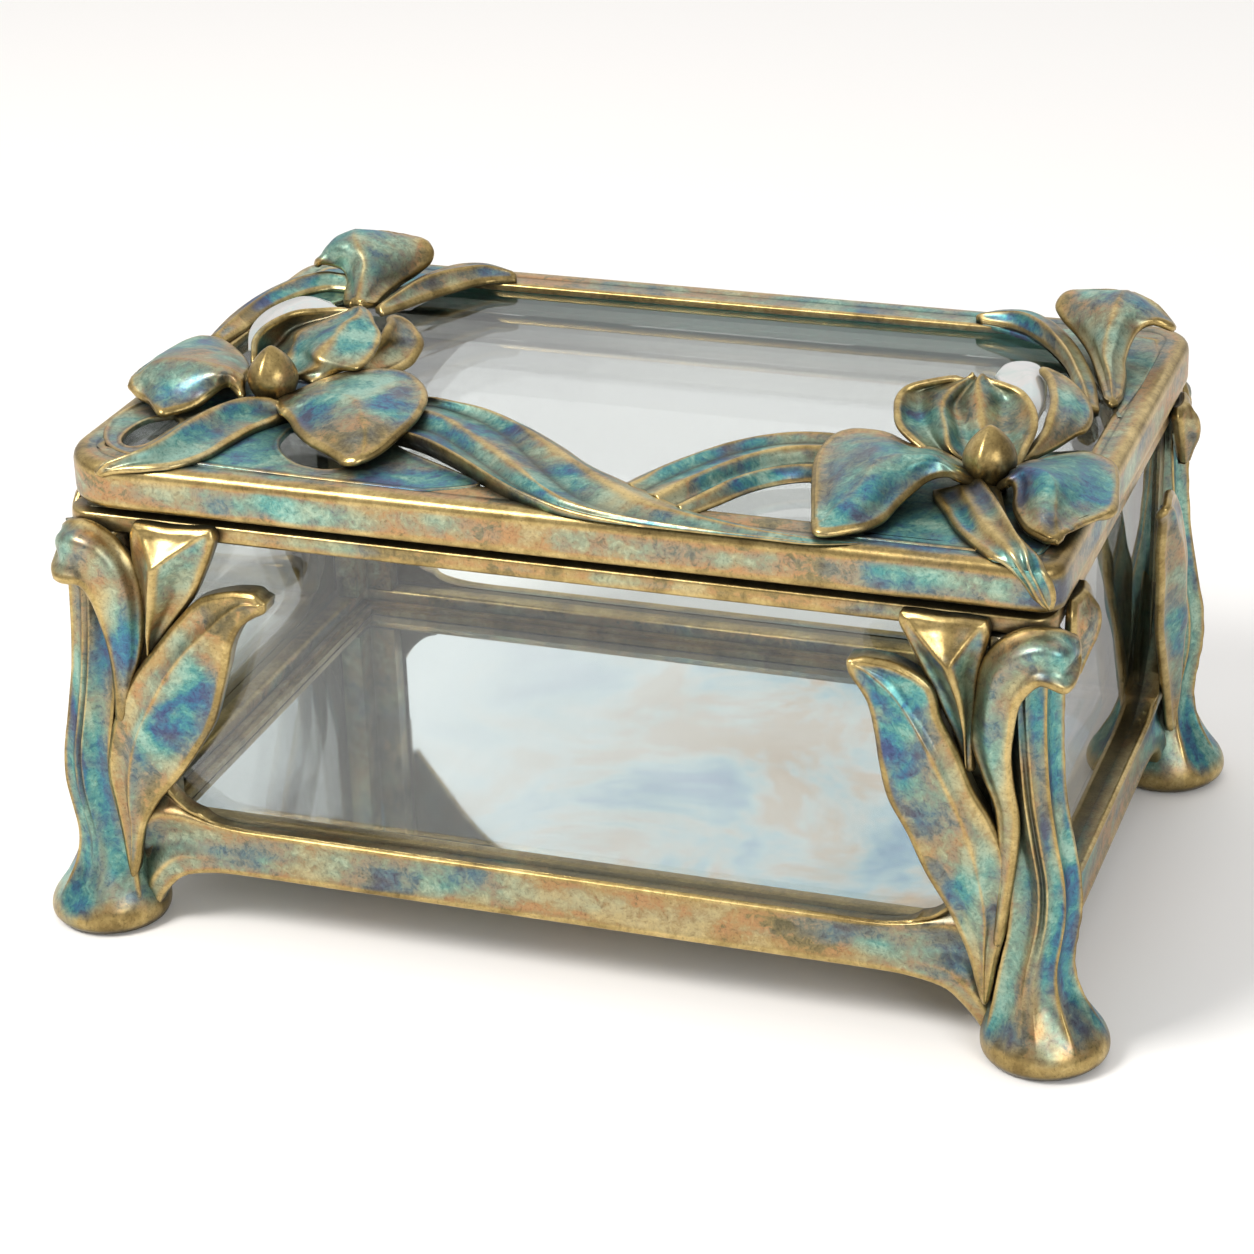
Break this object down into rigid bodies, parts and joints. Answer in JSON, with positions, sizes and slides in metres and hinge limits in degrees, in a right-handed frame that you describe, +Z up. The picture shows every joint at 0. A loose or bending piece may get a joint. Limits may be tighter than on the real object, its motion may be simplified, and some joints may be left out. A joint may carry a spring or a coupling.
{
  "type": "glass casket",
  "caption": "Glass casket for papers and keepsakes: cast bronze frame with flower ornament, flared flower legs, mirror floor and a hinged glass lid.",
  "frame": {"origin": "middle of the footprint, on the plane that the feet stand on", "axes": "+X to the right along the long front, -Y towards the front, +Z up; the lid is closed at rest"},
  "size_m": [0.2194, 0.1454, 0.1146],
  "materials": {
    "patinated_bronze": "satin",
    "worn_gold_bronze": "satin",
    "hinge_brass": "satin",
    "clear_glass": "polished",
    "mirror": "polished",
    "pearl_inlay": "gloss",
    "felt": "matte"
  },
  "bodies": {
    "case": {"base_frame": "patinated_bronze", "upper_rail": "worn_gold_bronze", "floor_plate": "worn_gold_bronze", "floor_mirror": "mirror", "mirror_bead": "worn_gold_bronze", "glass_front": "clear_glass", "glass_back": "clear_glass", "glass_left": "clear_glass", "glass_right": "clear_glass", "post_front_left": "patinated_bronze", "post_front_right": "patinated_bronze", "post_rear_left": "patinated_bronze", "post_rear_right": "patinated_bronze", "leg_front_left": "patinated_bronze", "leg_front_right": "patinated_bronze", "leg_rear_left": "patinated_bronze", "leg_rear_right": "patinated_bronze", "hood_front_left": "patinated_bronze", "hood_front_right": "patinated_bronze", "hood_rear_left": "patinated_bronze", "hood_rear_right": "patinated_bronze", "leaf_front_left": "patinated_bronze", "leaf_front_right": "patinated_bronze", "leaf_side_left": "patinated_bronze", "leaf_side_right": "patinated_bronze", "buds_front_left": "worn_gold_bronze", "buds_front_right": "worn_gold_bronze", "buds_rear_left": "worn_gold_bronze", "buds_rear_right": "worn_gold_bronze", "foot_felts": "felt", "case_screws": "hinge_brass", "hinge_leaves_lower": "hinge_brass", "hinge_pins": "hinge_brass"},
    "lid": {"lid_frame": "patinated_bronze", "lid_glass": "clear_glass", "lid_bead": "worn_gold_bronze", "hinge_leaves_upper": "hinge_brass", "lid_screws": "hinge_brass", "web_left": "patinated_bronze", "web_right": "patinated_bronze", "stems_left": "patinated_bronze", "stems_right": "patinated_bronze", "iris_left_bud": "worn_gold_bronze", "iris_left_standard": "patinated_bronze", "iris_left_outer_fall": "patinated_bronze", "iris_left_inner_fall": "patinated_bronze", "iris_left_side_petal": "patinated_bronze", "iris_left_pearl": "pearl_inlay", "iris_left_spear": "worn_gold_bronze", "iris_right_bud": "worn_gold_bronze", "iris_right_standard": "patinated_bronze", "iris_right_outer_fall": "patinated_bronze", "iris_right_inner_fall": "patinated_bronze", "iris_right_side_petal": "patinated_bronze", "iris_right_pearl": "pearl_inlay", "iris_right_spear": "worn_gold_bronze", "lily_left": "patinated_bronze", "lily_right": "patinated_bronze", "lily_stems_left": "patinated_bronze", "lily_stems_right": "patinated_bronze"}
  },
  "joints": [
    {"name": "lid_hinge", "type": "hinge", "parent": "case", "child": "lid", "pos_m": [0, 0.0676, 0.0922], "axis": [-1, 0, 0], "range_deg": [0, 100]}
  ]
}
